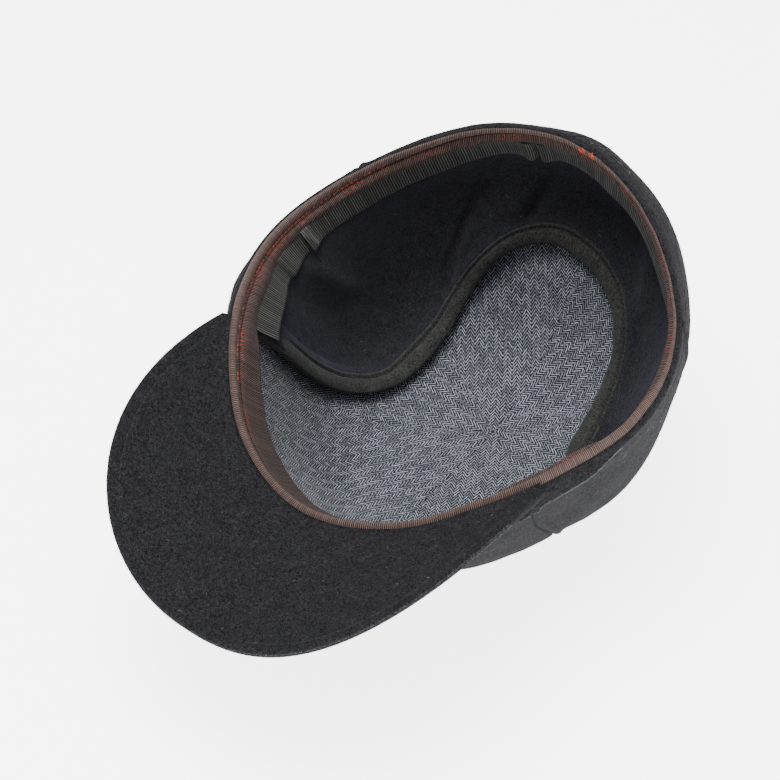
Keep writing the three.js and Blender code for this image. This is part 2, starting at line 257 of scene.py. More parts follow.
def stitchRow(name, path, spec, material, slot):
    # path is a list of (point, direction off the cloth); each stitch is a small flattened bead
    bm = bmesh.new()
    travelled = [0]
    for (before, _), (after, _) in zip(path, path[1:]):
        travelled.append(travelled[-1] + (after - before).length)
    count = int(travelled[-1] / spec["pitch"])
    for k in range(count):
        at = (k + 0.5) * spec["pitch"]
        i = min(bisect_right(travelled, at), len(path) - 1)
        t = (at - travelled[i - 1]) / (travelled[i] - travelled[i - 1])
        point = path[i - 1][0].lerp(path[i][0], t)
        off = path[i - 1][1].lerp(path[i][1], t).normalized()
        ahead = (path[i][0] - path[i - 1][0]).normalized()
        sink = spec["sink"] * (1 + spec["unevenness"] * random.uniform(-1, 1))
        addThread(bm, point - off * sink, ahead, off, spec["length"], spec["width"], spec["slant"])
    piece = finishedPiece(name, bm)
    return dress(piece, material, slot)


def addThread(bm, point, ahead, off, length, width, slant=0):
    aside = off.cross(ahead).normalized()
    ahead = (ahead + aside * slant).normalized()
    aside = off.cross(ahead).normalized()
    turned = Matrix((ahead, aside, off)).transposed().to_4x4()
    sized = Matrix.Diagonal((length / 2, width / 2, width / 2, 1))
    bmesh.ops.create_uvsphere(bm, u_segments=6, v_segments=5, radius=1,
                              matrix=Matrix.Translation(point) @ turned @ sized @ Matrix.Rotation(math.pi / 2, 4, "Y"))


def dress(piece, material, slot, *replaced):
    piece.data.materials.clear()
    piece.data.materials.append(material)
    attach(piece, "root")
    if replaced:
        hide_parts(*replaced)
    return piece


# Shader building blocks
def addNode(tree, kind, inputs=None, **settings):
    node = tree.nodes.new(kind)
    for name, value in settings.items():
        setattr(node, name, value)
    for name, value in (inputs or {}).items():
        if isinstance(value, bpy.types.NodeSocket):
            tree.links.new(value, node.inputs[name])
        else:
            node.inputs[name].default_value = value
    return node


def calc(tree, operation, first, second=0.0, third=0.0):
    return addNode(tree, "ShaderNodeMath", {0: first, 1: second, 2: third}, operation=operation).outputs[0]


def blendColour(tree, share, first, second, kind="MIX"):
    node = addNode(tree, "ShaderNodeMix", {0: share, 6: first, 7: second}, data_type="RGBA", blend_type=kind)
    return node.outputs[2]


def remap(tree, value, low, high, toLow=0.0, toHigh=1.0):
    inputs = {"Value": value, "From Min": low, "From Max": high, "To Min": toLow, "To Max": toHigh}
    return addNode(tree, "ShaderNodeMapRange", inputs, interpolation_type="SMOOTHSTEP").outputs["Result"]


def newGroup(name, inputs, outputs):
    group = bpy.data.node_groups.new(name, "ShaderNodeTree")
    for label, kind in inputs:
        group.interface.new_socket(label, in_out="INPUT", socket_type="NodeSocket" + kind)
    for label in outputs:
        group.interface.new_socket(label, in_out="OUTPUT", socket_type="NodeSocketFloat")
    return group, addNode(group, "NodeGroupInput"), addNode(group, "NodeGroupOutput")


def makeFuzz():  # felted fibres: a soft mottle, fine fibres and a few light specks
    group, given, out = newGroup("fuzz", [("Vector", "Vector"), ("Size", "Float")], ["Mottle", "Fibre", "Speck"])
    scaled = addNode(group, "ShaderNodeVectorMath", {0: given.outputs["Vector"]}, operation="SCALE")
    group.links.new(given.outputs["Size"], scaled.inputs["Scale"])
    where = scaled.outputs[0]
    mottle = addNode(group, "ShaderNodeTexNoise", {"Vector": where, "Scale": 0.22, "Detail": 4.0})
    fine = addNode(group, "ShaderNodeTexNoise", {"Vector": where, "Scale": 1.7, "Detail": 5.0, "Roughness": 0.65,
                                                 "Distortion": 1.6})
    specks = addNode(group, "ShaderNodeTexVoronoi", {"Vector": where, "Scale": 0.42, "Randomness": 1.0})
    near = remap(group, specks.outputs["Distance"], 0.05, 0.12, 1.0, 0.0)
    chosen = addNode(group, "ShaderNodeTexWhiteNoise", {"Vector": specks.outputs["Position"]})
    few = remap(group, chosen.outputs["Value"], 0.7, 1.0)
    group.links.new(mottle.outputs["Fac"], out.inputs["Mottle"])
    group.links.new(fine.outputs["Fac"], out.inputs["Fibre"])
    group.links.new(calc(group, "MULTIPLY", near, few), out.inputs["Speck"])
    return group


def makeRibs():  # ribs across a band; the flat pattern counts ribs along it and millimetres across
    group, given, out = newGroup("ribs", [("Vector", "Vector"), ("Slant", "Float")], ["Rib", "Yarn"])
    split = addNode(group, "ShaderNodeSeparateXYZ", {0: given.outputs["Vector"]})
    phase = calc(group, "MULTIPLY_ADD", split.outputs["Y"], given.outputs["Slant"], split.outputs["X"])
    wave = calc(group, "COSINE", calc(group, "MULTIPLY", phase, 2 * math.pi))
    group.links.new(remap(group, wave, -0.5, 0.8), out.inputs["Rib"])
    each = addNode(group, "ShaderNodeTexWhiteNoise", {"W": calc(group, "ROUND", phase)}, noise_dimensions="1D")
    group.links.new(each.outputs["Value"], out.inputs["Yarn"])
    return group


fuzz = makeFuzz()
ribs = makeRibs()


def newMaterial(name):
    material = bpy.data.materials.new(name)
    material.use_nodes = True
    return material, material.node_tree, material.node_tree.nodes["Principled BSDF"]


def useGroup(tree, group, inputs):
    node = addNode(tree, "ShaderNodeGroup", node_tree=group)
    for name, value in inputs.items():
        if isinstance(value, bpy.types.NodeSocket):
            tree.links.new(value, node.inputs[name])
        else:
            node.inputs[name].default_value = value
    return node.outputs


def relief(tree, surface, height, distance, strength=1.0):
    node = addNode(tree, "ShaderNodeBump", {"Height": height, "Distance": distance, "Strength": strength})
    tree.links.new(node.outputs[0], surface.inputs["Normal"])


def makeFuzzyMaterial(name, look):  # wool, fleece and tape differ in their values alone
    material, tree, surface = newMaterial(name)
    where = addNode(tree, "ShaderNodeTexCoord").outputs["Object"]
    fibres = useGroup(tree, fuzz, {"Vector": where, "Size": 1 / look["fibreSize"]})
    shade = remap(tree, fibres["Fibre"], look["low"], look["high"])
    colour = blendColour(tree, shade, look["dark"], look["light"])
    broad = remap(tree, fibres["Mottle"], 0.3, 0.7, 1 - look["mottle"], 1 + look["mottle"])
    tint = addNode(tree, "ShaderNodeCombineColor", {0: broad, 1: broad, 2: broad}).outputs[0]
    colour = blendColour(tree, 1.0, colour, tint, "MULTIPLY")
    colour = blendColour(tree, calc(tree, "MULTIPLY", fibres["Speck"], look["specks"]), colour, look["lint"])
    tree.links.new(colour, surface.inputs["Base Color"])
    surface.inputs["Roughness"].default_value = look["roughness"]
    surface.inputs["Specular IOR Level"].default_value = look["gloss"]
    surface.inputs["Sheen Weight"].default_value = look["sheen"]
    surface.inputs["Sheen Roughness"].default_value = 0.45
    surface.inputs["Sheen Tint"].default_value = look["sheenTint"]
    height = calc(tree, "MULTIPLY_ADD", fibres["Mottle"], 1.5, fibres["Fibre"])
    relief(tree, surface, height, look["relief"])
    return material


woolLook = {
    "fibreSize": 1.4 * mm, "dark": (0.0048, 0.0048, 0.0056, 1), "light": (0.0325, 0.0325, 0.036, 1), "low": 0.37,
    "high": 0.65, "mottle": 0.1, "lint": (0.11, 0.11, 0.12, 1), "specks": 0.5, "roughness": 0.95, "gloss": 0.05,
    "sheen": 0.0, "sheenTint": (0.75, 0.76, 0.85, 1), "relief": 1.2 * mm,
}
fleeceLook = {
    "fibreSize": 1.3 * mm, "dark": (0.0055, 0.0055, 0.007, 1), "light": (0.027, 0.027, 0.0325, 1), "low": 0.35,
    "high": 0.66, "mottle": 0.1, "lint": (0.08, 0.08, 0.1, 1), "specks": 0.4, "roughness": 1.0, "gloss": 0.08,
    "sheen": 0.08, "sheenTint": (0.6, 0.6, 0.8, 1), "relief": 0.5 * mm,
}
tapeLook = {
    "fibreSize": 1.1 * mm, "dark": (0.0015, 0.0016, 0.0015, 1), "light": (0.039, 0.0395, 0.037, 1), "low": 0.4,
    "high": 0.6, "mottle": 0.15, "lint": (0.07, 0.07, 0.07, 1), "specks": 0.2, "roughness": 0.85, "gloss": 0.2,
    "sheen": 0.05, "sheenTint": (0.95, 1.0, 0.95, 1), "relief": 0.3 * mm,
}
woolCloth = makeFuzzyMaterial("woolCloth", woolLook)
fleeceCloth = makeFuzzyMaterial("fleeceCloth", fleeceLook)
tapeCloth = makeFuzzyMaterial("tapeCloth", tapeLook)


herringboneLook = {
    "stripe": 2.35, "pitch": 1.85, "steepness": 1.5, "light": (0.375, 0.4, 0.455, 1), "grey": (0.016, 0.019, 0.026, 1),
    "dark": (0.001, 0.0015, 0.003, 1), "wander": 0.3, "relief": 0.35 * mm,
}


def makeHerringbone(look):
    material, tree, surface = newMaterial("herringboneCloth")
    flat = addNode(tree, "ShaderNodeUVMap", uv_map="weave").outputs[0]
    wander = addNode(tree, "ShaderNodeTexNoise", {"Vector": flat, "Scale": 0.5, "Detail": 2.0})
    shift = addNode(tree, "ShaderNodeVectorMath", {0: wander.outputs["Color"], 1: (0.5, 0.5, 0.5)}, operation="SUBTRACT")
    shift = addNode(tree, "ShaderNodeVectorMath", {0: shift.outputs[0]}, operation="SCALE")
    shift.inputs["Scale"].default_value = look["wander"]
    flat = addNode(tree, "ShaderNodeVectorMath", {0: flat, 1: shift.outputs[0]}, operation="ADD").outputs[0]
    split = addNode(tree, "ShaderNodeSeparateXYZ", {0: flat})
    u, v = split.outputs["X"], split.outputs["Y"]
    zigzag = calc(tree, "PINGPONG", u, look["stripe"])
    phase = calc(tree, "DIVIDE", calc(tree, "MULTIPLY_ADD", zigzag, look["steepness"], v), look["pitch"])
    wave = calc(tree, "COSINE", calc(tree, "MULTIPLY", phase, 2 * math.pi))
    stripe = calc(tree, "FLOOR", calc(tree, "DIVIDE", u, look["stripe"]))
    cell = addNode(tree, "ShaderNodeCombineXYZ", {0: stripe, 1: calc(tree, "ROUND", phase)}).outputs[0]
    each = addNode(tree, "ShaderNodeTexWhiteNoise", {"Vector": cell}, noise_dimensions="3D").outputs["Value"]
    melange = addNode(tree, "ShaderNodeTexNoise", {"Vector": flat, "Scale": 1.2, "Detail": 3.0}).outputs["Fac"]
    offset = calc(tree, "MULTIPLY_ADD", melange, 3.2, -1.6)
    yarn = remap(tree, calc(tree, "ADD", wave, offset), 0.2, 0.75)
    near = calc(tree, "DIVIDE", calc(tree, "PINGPONG", u, look["stripe"] / 2), look["stripe"] / 2)
    body = remap(tree, near, 0.0, 0.3, 0.45, 1.0)
    lit = calc(tree, "MULTIPLY", calc(tree, "MULTIPLY", yarn, body), remap(tree, each, 0.0, 1.0, 0.4, 1.0))
    ground = blendColour(tree, remap(tree, melange, 0.35, 0.65), look["dark"], look["grey"])
    colour = blendColour(tree, lit, ground, look["light"])
    tree.links.new(colour, surface.inputs["Base Color"])
    surface.inputs["Roughness"].default_value = 0.85
    surface.inputs["Specular IOR Level"].default_value = 0.2
    surface.inputs["Sheen Weight"].default_value = 0.1
    relief(tree, surface, lit, look["relief"])
    return material


def makeRibbed(name, look):
    material, tree, surface = newMaterial(name)
    flat = addNode(tree, "ShaderNodeUVMap", uv_map="weave").outputs[0]
    rib = useGroup(tree, ribs, {"Vector": flat, "Slant": look["slant"]})
    where = addNode(tree, "ShaderNodeTexCoord").outputs["Object"]
    fibres = useGroup(tree, fuzz, {"Vector": where, "Size": 1 / look["fibreSize"]})
    yarn = calc(tree, "MULTIPLY", rib["Rib"], remap(tree, rib["Yarn"], 0.0, 1.0, 0.6, 1.0))
    yarn = calc(tree, "MULTIPLY", yarn, remap(tree, fibres["Fibre"], 0.25, 0.65, 0.5, 1.0))
    across = addNode(tree, "ShaderNodeSeparateXYZ", {0: flat}).outputs["Y"]
    if "rollSoftness" in look:  # the ribs are stretched and fuzzier over the roll
        softer = remap(tree, across, -3.5, -0.5, look["rollSoftness"], 0.0)
        yarn = calc(tree, "MULTIPLY_ADD", softer, calc(tree, "SUBTRACT", 1.0, yarn), yarn)
    colour = blendColour(tree, yarn, look["groove"], look["ridge"])
    if "fleck" in look:
        # painted shade: the band's colour is darkened from the roll down towards its lower edge, where less light falls
        paintedShade = remap(tree, across, -1.0, 6.0, 1.0, look["paintedLowerShade"])
        # painted shadow: dark lines on both sides of the stitch groove, where the groove lies in shade
        for at, wide in look["paintedGrooveShadows"]:
            off = calc(tree, "ABSOLUTE", calc(tree, "SUBTRACT", across, at))
            paintedShade = calc(tree, "MULTIPLY", paintedShade, remap(tree, off, 0.0, wide, 0.12, 1.0))
        paintedShadeColour = addNode(tree, "ShaderNodeCombineColor", {0: paintedShade, 1: paintedShade, 2: paintedShade}).outputs[0]
        colour = blendColour(tree, 1.0, colour, paintedShadeColour, "MULTIPLY")
        aside = calc(tree, "ABSOLUTE", calc(tree, "SUBTRACT", across, look["fleckRow"]))
        close = remap(tree, aside, 0.4, look["fleckSpread"], 0.8, 0.0)
        spots = addNode(tree, "ShaderNodeTexNoise", {"Vector": flat, "Scale": 0.9, "Detail": 3.0}).outputs["Fac"]
        patches = addNode(tree, "ShaderNodeTexNoise", {"Vector": flat, "Scale": 0.045, "Detail": 1.0}).outputs["Fac"]
        shown = calc(tree, "MULTIPLY", remap(tree, spots, 0.5, 0.75), remap(tree, patches, 0.42, 0.62, 0.12, 1.0))
        colour = blendColour(tree, calc(tree, "MULTIPLY", shown, close), colour, look["fleck"])
    tree.links.new(colour, surface.inputs["Base Color"])
    surface.inputs["Roughness"].default_value = look["roughness"]
    surface.inputs["Specular IOR Level"].default_value = look["gloss"]
    surface.inputs["Sheen Weight"].default_value = look["sheen"]
    relief(tree, surface, calc(tree, "ADD", yarn, fibres["Fibre"]), look["relief"])
    return material


def makeThread(name, colour, roughness):
    material, tree, surface = newMaterial(name)
    where = addNode(tree, "ShaderNodeTexCoord").outputs["Object"]
    fibres = useGroup(tree, fuzz, {"Vector": where, "Size": 1 / (0.15 * mm)})
    shade = remap(tree, fibres["Fibre"], 0.3, 0.7)
    dark = (colour[0] * 0.45, colour[1] * 0.45, colour[2] * 0.45, 1)
    tree.links.new(blendColour(tree, shade, dark, (*colour, 1)), surface.inputs["Base Color"])
    surface.inputs["Roughness"].default_value = roughness
    relief(tree, surface, fibres["Fibre"], 0.08 * mm)
    return material


knitLook = {
    "slant": -0.15, "fibreSize": 0.7 * mm, "groove": (0.004, 0.0026, 0.0023, 1), "ridge": (0.19, 0.124, 0.109, 1),
    # painted shade on the band's lower part, and painted shadow lines beside the stitch groove, as place and half width
    # in mm across
    "paintedLowerShade": 0.6, "rollSoftness": 0.12, "paintedGrooveShadows": [(-0.9, 0.9), (1.3, 0.6)],
    "fleck": (0.4, 0.035, 0.014, 1), "fleckRow": 2.0, "fleckSpread": 4.5,
    "roughness": 0.95, "gloss": 0.12, "sheen": 0.05, "relief": 0.25 * mm,
}
ribbonLook = {
    "slant": 0.0, "fibreSize": 0.5 * mm, "groove": (0.0006, 0.0007, 0.0006, 1), "ridge": (0.085, 0.087, 0.081, 1),
    "roughness": 0.75, "gloss": 0.2, "sheen": 0.05, "relief": 0.12 * mm,
}
herringboneCloth = makeHerringbone(herringboneLook)
knitCloth = makeRibbed("knitCloth", knitLook)
ribbonCloth = makeRibbed("ribbonCloth", ribbonLook)
redThread = makeThread("redThread", (0.6, 0.07, 0.03), 0.6)
darkThread = makeThread("darkThread", (0.003, 0.003, 0.0035), 0.8)
tapeThread = makeThread("tapeThread", (0.003, 0.003, 0.003), 0.7)
print("materials made")


# Outer wool panels
panelSides = ["back_left", "side_left", "front_left", "front_right", "side_right", "back_right"]
panelWidth = 360 / crownShape["panels"]
woolPanel = {
    "columns": 56, "rimRows": 6, "hemRows": 30, "rows": 80, "hemRun": 18 * mm, "thickness": 1.5 * mm,
    "seamDepth": 0.6 * mm, "seamWidth": 0.5 * mm, "welt": 0.85 * mm, "weltPlace": 2.5 * mm, "weltWidth": 1.6 * mm,
    "hemStitch": 8 * mm, "hemGroove": 0.3 * mm, "hemGrooveWidth": 0.8 * mm, "flare": 2.4 * mm, "crease": 1.1 * mm,
    "cornerLean": 4.5, "leanStart": 40 * mm, "leanEnd": 80 * mm,
}
rimCurl = [(1.0, 0.7), (0.95, -0.3), (0.45, -0.95), (-0.4, -1.2), (-1.3, -0.95), (-2.0, 0.1)]  # lift, run in mm
# the fold in which the peak's edge runs on past its corners: turn from the back, run in mm
flareLine = [(96, 0.4), (104, 1.4), (112, 3), (120, 5.5), (126, 13), (132, 17)]
# lumps of the hem below the roll: turn, run and height in mm, half widths in degrees and mm
hemLumps = [(61, 6, 1.3, 6, 7), (42, 4, 1.5, 13, 6), (24, 8, 1.1, 10, 8), (357, 14, 2.0, 10, 12), (88, 8, 0.6, 7, 6), (104, 7, 0.6, 6, 6),
            (254, 26, -1.1, 4, 12), (262, 40, 1.0, 5, 14), (247, 48, -0.8, 3, 12), (225, 40, 0.7, 5, 14)]


def seamTurn(number, run):  # the seams at the peak's corners lean towards the peak
    hand = {2: 1, 4: -1}.get(number % crownShape["panels"], 0)
    lean = woolPanel["cornerLean"] * (1 - smoothStep(run, woolPanel["leanStart"], woolPanel["leanEnd"]))
    return number * panelWidth + hand * lean


def seamDistance(turn, run, seam):  # from the nearest seam, positive towards the back
    number = round(turn / panelWidth)
    towardsBack = -1 if (turn % 360) < 180 else 1
    return (turn - seam(number, run)) * degreeLength(turn, run) * towardsBack


def straightSeam(number, run):
    return number * panelWidth


def woolFace(turn, run, onBoundary=False):
    piece = woolPanel
    off = 0 if onBoundary else seamDistance(turn, run, seamTurn)
    fromMiddle = smoothStep(wallLength(turn) - run, 4 * mm, 30 * mm)
    lift = -wool + piece["seamDepth"] * bump(off, piece["seamWidth"])
    lift -= piece["welt"] * fromMiddle * bump(off - piece["weltPlace"], piece["weltWidth"])
    lift += piece["hemGroove"] * bump(run - piece["hemStitch"], piece["hemGrooveWidth"])
    side = sideOf(turn)
    if flareLine[0][0] < side < flareLine[-1][0]:
        ridge = readTable(flareLine, 1, side) * mm
        strength = smoothStep(side, 96, 110) * (1 - smoothStep(side, 127, 132))
        lift -= piece["flare"] * strength * smoothStep(run, -1 * mm, ridge) * (
            1 - smoothStep(run, ridge, ridge + 3.5 * mm))
        lift -= piece["crease"] * strength * bump(run - ridge - 0.6 * mm, 0.7 * mm)
    for at, down, height, wide, tall in hemLumps:
        away = (turn - at + 180) % 360 - 180
        if abs(away) < 3 * wide:
            lift -= height * mm * bump(away, wide) * bump(run / mm - down, tall)
    spot = Vector((math.sin(math.radians(turn)) * 95, math.cos(math.radians(turn)) * 95, run / mm))
    return lift + 0.1 * mm * noise.noise(spot / 2.6) + 0.3 * mm * smoothStep(run, 0, 9 * mm) * noise.noise(spot / 12)


def makeWoolPanel(index):
    piece = woolPanel

    def runOf(i, j):
        j -= piece["rimRows"]
        if j <= piece["hemRows"]:
            return 1.2 * mm + (piece["hemRun"] - 1.2 * mm) * max(j, 0) / piece["hemRows"]
        share = (j - piece["hemRows"]) / piece["rows"]
        turn = panelWidth * (index + crowded(i, piece["columns"]))
        return piece["hemRun"] + (wallLength(turn) - piece["hemRun"]) * share

    def turnOf(i, j):
        run = runOf(i, j)
        start, end = seamTurn(index, run), seamTurn(index + 1, run)
        return start + (end - start) * crowded(i, piece["columns"])

    def lay(i, j):
        turn = turnOf(i, j)
        if j < piece["rimRows"]:
            lift, run = rimCurl[j]
            return onWall(turn, run * mm, lift * mm)
        run = runOf(i, j)
        return onWall(turn, run, woolFace(turn, run, i in (0, piece["columns"])))

    def pattern(i, j):
        run = runOf(i, j)
        return ((crowded(i, piece["columns"]) - 0.5) * panelWidth * degreeLength(turnOf(i, j), run) / mm, run / mm)

    side = panelSides[index]
    rows = piece["rimRows"] + piece["hemRows"] + piece["rows"]
    panel = cloth("wool_" + side, piece["columns"], rows, lay, pattern, outwards, ring=True)
    dress(thicken(panel, piece["thickness"]), woolCloth, "wool", "crown_" + side)
    return panel


woolPanels = [makeWoolPanel(index) for index in range(crownShape["panels"])]
print("outer wool made")


# Lining panels
liningPanel = {"columns": 40, "rows": 84, "thickness": 0.8 * mm, "seamDepth": 0.35 * mm, "seamWidth": 0.5 * mm,
               "ripple": 0.5 * mm, "rippleSize": 18}


def liningLift(turn, run, off):
    spot = Vector((math.sin(math.radians(turn)) * 90, math.cos(math.radians(turn)) * 90, run / mm))
    ripple = noise.noise(spot / liningPanel["rippleSize"])
    return liningFace - liningPanel["seamDepth"] * bump(off, liningPanel["seamWidth"]) + liningPanel["ripple"] * ripple


def makeLiningPanel(index):
    piece = liningPanel
    middle = piece["columns"] // 2

    def spotOf(i, j):
        turn = panelWidth * (index + crowded(i, piece["columns"]))
        return turn, hemDepth + (wallLength(turn) - hemDepth) * j / piece["rows"]

    def lay(i, j):
        turn, run = spotOf(i, j)
        off = 0 if i in (0, piece["columns"]) else seamDistance(turn, run, straightSeam)
        return onWall(turn, run, liningLift(turn, run, off))

    # the weave lies straight on the flat cut of the panel: across from its middle line, and up from its tip
    across = []
    for j in range(piece["rows"] + 1):
        line = [onWall(*spotOf(i, j), 0) for i in range(piece["columns"] + 1)]
        walked = [0]
        for before, after in zip(line, line[1:]):
            walked.append(walked[-1] + (after - before).length)
        across.append([length - walked[middle] for length in walked])

    def pattern(i, j):
        turn, run = spotOf(i, j)
        fromTip = wallLength(turn) - run
        u = across[j][i]
        flat = 1 - smoothStep(fromTip, 40 * mm, 150 * mm)
        v = fromTip - flat * u * u / (2 * max(fromTip, 1 * mm))
        return (u / mm, v / mm)

    side = panelSides[index]
    panel = cloth("herringbone_" + side, piece["columns"], piece["rows"], lay, pattern, inwards, ring=True)
    dress(thicken(panel, piece["thickness"]), herringboneCloth, "lining", "lining_" + side)
    return panel


liningPanels = [makeLiningPanel(index) for index in range(crownShape["panels"])]
print("lining made")


# Sweatband: a tube of knit whose section runs from its hidden hem over the roll to its lower edge
band = {
    "width": 16 * mm, "lean": 5 * mm, "knit": 1.2 * mm, "ribs": 720, "ribDepth": 0.1 * mm, "ribSlant": -0.15,
    "ribColumns": 4, "sectionRows": 32, "grooveRow": 16, "rollLift": 4.0, "pressed": 0.8 * mm,
}
# turn, then reach and lean as shares of the band's width and lean
bandTable = [
    (-40, 0.38, 0.1), (-10, 0.4, 0.1), (15, 0.5, 0.1), (35, 0.52, 0.1), (55, 0.5, 0.1), (78, 0.42, 0.08), (92, 0.52, 0.08),
    (108, 0.55, 0.08), (119, 0.56, 0.15), (130, 0.82, 0.6), (142, 1, 1), (180, 1, 0.83),
]
# width of the roll as a share of its lift: turn from -180 to 180
rollTable = [(-95, 1), (-62, 0.4), (25, 0.36), (60, 0.62), (90, 1)]
gap = 0.3 * mm


def signedTurn(turn):
    return (turn + 180) % 360 - 180


def bandLift(turn):  # pressed a little closer to the wall than the loose cloth below it
    side = sideOf(turn)
    overFlap, overBinding, overLining = flapFace - 1.5 * gap, bindingFace - 0.5 * gap, liningFace + 3 * gap
    pressed = band["pressed"] * smoothStep(signedTurn(turn), -75, -55) * (1 - smoothStep(signedTurn(turn), -10, 5))
    return (overFlap - pressed + (overBinding - overFlap) * smoothStep(side, 96, 106)
            + (overLining - overBinding) * smoothStep(side, 124, 142))


def bandEdge(turn):
    side = max(sideOf(turn) * (1 if signedTurn(turn) > 0 else -1), -40) if sideOf(turn) < 60 else sideOf(turn)
    return band["width"] * readTable(bandTable, 1, side), band["lean"] * readTable(bandTable, 2, side)


def throughPoints(knots, count):  # a smooth closed line through the knots, as count + 1 places
    size = len(knots)
    line = []
    for k in range(count + 1):
        at = k / count * size
        i, t = int(at) % size, at - int(at)
        line.append(smoothPoint([knots[(i + n - 1) % size] for n in range(4)], t))
    return line


def smoothPoint(four, t):
    a, b, c, d = four
    return 0.5 * (2 * b + (c - a) * t + (2 * a - 5 * b + 4 * c - d) * t ** 2 + (3 * b - a - 3 * c + d) * t ** 3)


@lru_cache(maxsize=None)
def bandSection(turn):
    reach, lean = (size / mm for size in bandEdge(turn))
    under = bandLift(turn) / mm
    face = under + band["knit"] / mm
    roll = band["rollLift"] * readTable(rollTable, 1, signedTurn(turn))
    low = max(reach, 5.2) - 3.4
    knots = [Vector(pair) for pair in (
        (0.7, 4.0), (0.6, 1.2), (0.2, -0.7), (roll * 0.28, -1.8), (roll * 0.55, -2.35), (roll * 0.83, -2.15),
        (roll - 0.15, -1.1), (roll - 0.1, 0.8), (roll - 1.1, 2.2), (roll * 0.4 + face * 0.6 + 0.2, 3.4), (face + 0.35 + lean * 0.2, 3.4 + low * 0.35),
        (face + 0.1 + lean * 0.6, 3.4 + low * 0.75), (face + lean - 0.2, 3.4 + low), (under + lean - 0.1, 3.4 + low),
        (under + lean * 0.4, 3.4 + low * 0.55), (1.5, 4.8),
    )]
    line = throughPoints(knots, band["sectionRows"])
    walked = [0]
    for before, after in zip(line, line[1:]):
        walked.append(walked[-1] + (after - before).length)
    return line, [length - walked[band["grooveRow"]] for length in walked]


bandColumns = band["ribs"] * band["ribColumns"]


def layBand(i, j):
    turn = 360 * i / bandColumns
    line, walked = bandSection(round(turn, 2))
    before, after = line[max(j - 1, 0)], line[min(j + 1, len(line) - 1)]
    along = (after - before).normalized()
    phase = i / band["ribColumns"] + walked[j] * band["ribSlant"]
    height = band["ribDepth"] * (0.5 + 0.5 * math.cos(2 * math.pi * phase))
    ripple = 0.22 * mm * noise.noise(Vector((math.cos(math.radians(turn)) * 9, math.sin(math.radians(turn)) * 9, 0)))
    if j in (0, len(line) - 1):
        height = 0
    # the section runs up the wool side and down into the hollow, so "out" is to its left
    lift = line[j].x * mm + along.y * height + ripple
    run = line[j].y * mm - along.x * height
    return onWall(turn, run, lift)


def bandPattern(i, j):
    return (i / band["ribColumns"], bandSection(round(360 * i / bandColumns, 2))[1][j])


sweatband = cloth("knit_sweatband", bandColumns, band["sectionRows"], layBand, bandPattern, ring=True, tube=True)
dress(sweatband, knitCloth, "knit", "sweatband")
print("sweatband made")


# Ribbon
ribbon = {"width": 12.5 * mm, "thickness": 0.6 * mm, "rib": 1.18 * mm, "ribDepth": 0.3 * mm,
          "ribColumns": 4, "rows": 10}
# how far its lower edge stands off the flap: turn, mm
ribbonLean = [(-119, 0), (-80, 0), (-60, 1), (-42, 5), (-25, 7), (-5, 6.4), (12, 3.6), (40, 2.7), (62, 0.3), (84, 0.6),
              (100, 2.2), (112, 4.3), (121, 4.9)]


def pleat(at, overlap, height):  # a fold over itself: the part nearer the back lies on top
    return [(at - 6, 0), (at - 2, height * 0.75), (at, height), (at + 0.45, height * 0.8), (at, height * 0.5),
            (at - overlap, height * 0.43), (at - overlap - 0.35, height * 0.2), (at - overlap, 0.05), (at + 0.6, 0)]


# its course as turn and height in mm: pleats, and a dent near the front end
ribbonCourse = [(-119, 0), (-80, 0), (-40, 0.2), (-22, 0), (-12, 0.7), (-5, 0), (5, 0.3), (10, 3.4), (11.5, 2.2),
                (12.2, -0.4), (12.9, 2.2), (14.6, 3.6), (18, 1), (23, 0.1),
                (35, 0.4), (50, 0), (64, 0.3), (72, 0), *pleat(84.5, 2.4, 2.4), (88, 0.1), (92, 1.0),
                (95.8, 1.5), (97.2, 0.1), (101, 0), (108, 0.25), (121, 0)]


def layOutRibbon():  # evenly spaced places along its course, four for each rib
    knots = [Vector(pair) for pair in ribbonCourse]
    knots = [2 * knots[0] - knots[1]] + knots + [2 * knots[-1] - knots[-2]]
    fine = [smoothPoint(knots[k:k + 4], t / 40) for k in range(len(knots) - 3) for t in range(40)] + [knots[-2]]
    walked = [0]
    for before, after in zip(fine, fine[1:]):
        walked.append(walked[-1] + math.hypot((after.x - before.x) * 1.66, after.y - before.y))
    count = int(walked[-1] * mm / ribbon["rib"]) * ribbon["ribColumns"]
    places = []
    for k in range(count + 1):
        at = walked[-1] * k / count
        i = min(bisect_right(walked, at), len(fine) - 1)
        places.append(fine[i - 1].lerp(fine[i], (at - walked[i - 1]) / (walked[i] - walked[i - 1])))
    return places


ribbonPlaces = layOutRibbon()


def layRibbon(i, j):
    turn, height = ribbonPlaces[i]
    share = j / ribbon["rows"]
    reach, lean = bandEdge(turn)
    rib = ribbon["ribDepth"] * (0.5 + 0.5 * math.cos(2 * math.pi * i / ribbon["ribColumns"]))
    rib *= min(1, 6 * min(share, 1 - share))
    lift = bandLift(turn) + lean + ribbon["thickness"] + height * mm * (0.4 + 0.6 * share)
    lift += readTable(ribbonLean, 1, turn) * mm * share ** 1.3
    wavy = 0.35 * mm * noise.noise(Vector((turn / 5, 0, 9))) * share
    return onWall(turn, reach - 0.6 * mm + ribbon["width"] * share + wavy, lift + rib)


def ribbonPattern(i, j):
    return (i / ribbon["ribColumns"], ribbon["width"] / mm * j / ribbon["rows"])


ribbonPiece = cloth("grosgrain_ribbon", len(ribbonPlaces) - 1, ribbon["rows"], layRibbon, ribbonPattern, inwards)
dress(thicken(ribbonPiece, ribbon["thickness"]), ribbonCloth, "ribbon", "ribbon")
print("ribbon made")


# Ear flap and its binding
flap = {
    "topTurn": 112, "drop": 114 * mm, "napeShare": 0.77,
    "thickness": 1.3 * mm, "rowsAbove": 44, "stationRows": 7, "edgeLift": 2.6 * mm, "pressed": 1.1 * mm, "clear": 2.1 * mm,
}
